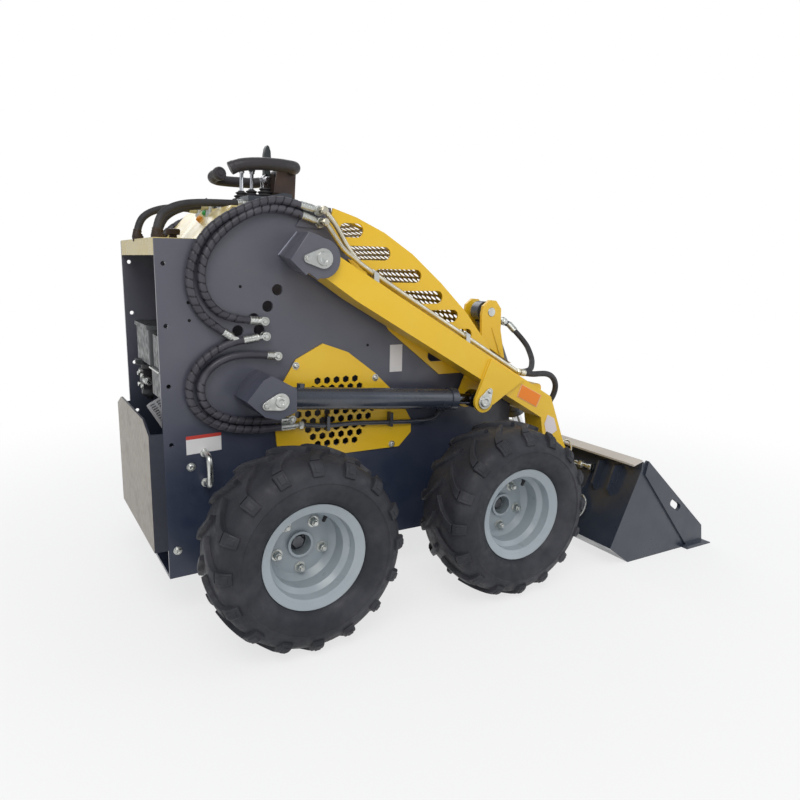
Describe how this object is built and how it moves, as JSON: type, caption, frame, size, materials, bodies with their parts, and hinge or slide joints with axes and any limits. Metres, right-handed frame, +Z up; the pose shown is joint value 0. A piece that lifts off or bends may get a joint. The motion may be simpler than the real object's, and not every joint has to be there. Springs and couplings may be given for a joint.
{
  "type": "walk-behind wheeled skid steer loader",
  "caption": "Compact walk-behind skid steer loader on lugged tyres, with a lifting boom worked by hydraulic cylinders and a tilting bucket on a quick-attach frame.",
  "frame": {"origin": "on the ground, under the middle of the whole machine's box", "axes": "+X forward towards the bucket, +Y to the left, +Z up"},
  "size_m": [1.608, 1.04, 1.128],
  "materials": {
    "slate_paint": "satin",
    "yellow_paint": "satin",
    "black_paint": "satin",
    "rim_paint": "satin",
    "bare_sheet": "brushed",
    "zinc": "plated",
    "chrome_rod": "polished",
    "engine_grey": "cast",
    "tyre_rubber": "matte",
    "rubber": "matte",
    "black_plastic": "matte",
    "flange_paint": "satin"
  },
  "bodies": {
    "chassis": {"side_plate_right": "slate_paint", "side_plate_left": "slate_paint", "floor_plate": "slate_paint", "front_plate": "slate_paint", "boom_brackets": "slate_paint", "cylinder_brackets": "slate_paint", "axle_housings": "slate_paint", "hood_screen": "yellow_paint", "arch_plates": "yellow_paint", "side_covers": "yellow_paint", "deck": "yellow_paint", "chassis_pins": "zinc", "tie_downs": "zinc", "hose_fittings": "zinc", "carburettor": "zinc", "engine": "engine_grey", "air_cleaner": "black_plastic", "battery": "black_plastic", "fuel_cap": "black_plastic", "control_levers": "black_plastic", "rear_guard": "bare_sheet", "muffler": "bare_sheet", "console": "black_paint", "handlebar": "black_paint", "hose_upper_outer_right": "rubber", "hose_upper_outer_left": "rubber", "hose_upper_inner_right": "rubber", "hose_upper_inner_left": "rubber", "hose_lower_outer_right": "rubber", "hose_lower_outer_left": "rubber", "hose_lower_inner_right": "rubber", "hose_lower_inner_left": "rubber", "hose_rear_near": "rubber", "hose_rear_middle": "rubber", "hose_rear_far": "rubber"},
    "boom": {"hose_tilt": "rubber", "hose_boom": "rubber", "boom_arm_right": "yellow_paint", "boom_arm_left": "yellow_paint", "boom_cross": "yellow_paint", "boom_pins": "zinc", "boom_pipes": "zinc"},
    "wheel_rear_right": {"tyre_rear_right": "tyre_rubber", "rim_rear_right": "rim_paint"},
    "wheel_rear_left": {"tyre_rear_left": "tyre_rubber", "rim_rear_left": "rim_paint"},
    "wheel_front_right": {"tyre_front_right": "tyre_rubber", "rim_front_right": "rim_paint"},
    "wheel_front_left": {"tyre_front_left": "tyre_rubber", "rim_front_left": "rim_paint"},
    "lift_barrel_right": {"lift_barrel_right": "black_paint"},
    "lift_rod_right": {"lift_rod_right": "chrome_rod"},
    "lift_barrel_left": {"lift_barrel_left": "black_paint"},
    "lift_rod_left": {"lift_rod_left": "chrome_rod"},
    "tilt_barrel": {"tilt_barrel": "black_paint"},
    "tilt_rod": {"tilt_rod": "chrome_rod"},
    "attachment": {"quick_attach": "slate_paint", "bucket": "slate_paint", "bucket_flange": "flange_paint"}
  },
  "joints": [
    {"name": "wheel_rear_right_spin", "type": "hinge", "parent": "chassis", "child": "wheel_rear_right", "pos_m": [-0.532, -0.428, 0.224], "axis": [0, 1, 0], "continuous": true},
    {"name": "wheel_rear_left_spin", "type": "hinge", "parent": "chassis", "child": "wheel_rear_left", "pos_m": [-0.532, 0.428, 0.224], "axis": [0, 1, 0], "continuous": true},
    {"name": "wheel_front_right_spin", "type": "hinge", "parent": "chassis", "child": "wheel_front_right", "pos_m": [0.03, -0.428, 0.224], "axis": [0, 1, 0], "continuous": true},
    {"name": "wheel_front_left_spin", "type": "hinge", "parent": "chassis", "child": "wheel_front_left", "pos_m": [0.03, 0.428, 0.224], "axis": [0, 1, 0], "continuous": true},
    {"name": "boom_lift", "type": "hinge", "parent": "chassis", "child": "boom", "pos_m": [-0.436, 0, 0.844], "axis": [0, -1, 0], "range_deg": [0, 75]},
    {"name": "bucket_tilt", "type": "hinge", "parent": "boom", "child": "attachment", "pos_m": [0.364, 0, 0.141], "axis": [0, 1, 0], "range_deg": [-12, 100]},
    {"name": "lift_barrel_right_swing", "type": "hinge", "parent": "chassis", "child": "lift_barrel_right", "pos_m": [-0.536, -0.2715, 0.527], "axis": [0, -1, 0], "range_deg": [-0.5, 56]},
    {"name": "lift_rod_right_slide", "type": "slide", "parent": "lift_barrel_right", "child": "lift_rod_right", "axis": [0.9968, 0, -0.0803], "range_m": [-0.001, 0.316]},
    {"name": "lift_barrel_left_swing", "type": "hinge", "parent": "chassis", "child": "lift_barrel_left", "pos_m": [-0.536, 0.2715, 0.527], "axis": [0, -1, 0], "range_deg": [-0.5, 56]},
    {"name": "lift_rod_left_slide", "type": "slide", "parent": "lift_barrel_left", "child": "lift_rod_left", "axis": [0.9968, 0, -0.0803], "range_m": [-0.001, 0.316]},
    {"name": "tilt_barrel_swing", "type": "hinge", "parent": "boom", "child": "tilt_barrel", "pos_m": [0.252, 0, 0.697], "axis": [0, -1, 0], "range_deg": [-3, 3]},
    {"name": "tilt_rod_slide", "type": "slide", "parent": "tilt_barrel", "child": "tilt_rod", "axis": [0.4226, 0, -0.9063], "range_m": [-0.032, 0.263]}
  ],
  "couplings": [
    {"joint": "lift_barrel_right_swing", "follows": "boom_lift", "ratio": 0.7257},
    {"joint": "lift_rod_right_slide", "follows": "boom_lift", "m_per_rad": 0.2403},
    {"joint": "lift_barrel_left_swing", "follows": "boom_lift", "ratio": 0.7257},
    {"joint": "lift_rod_left_slide", "follows": "boom_lift", "m_per_rad": 0.2403},
    {"joint": "tilt_barrel_swing", "follows": "bucket_tilt", "ratio": -0.01},
    {"joint": "tilt_rod_slide", "follows": "bucket_tilt", "m_per_rad": 0.15}
  ]
}
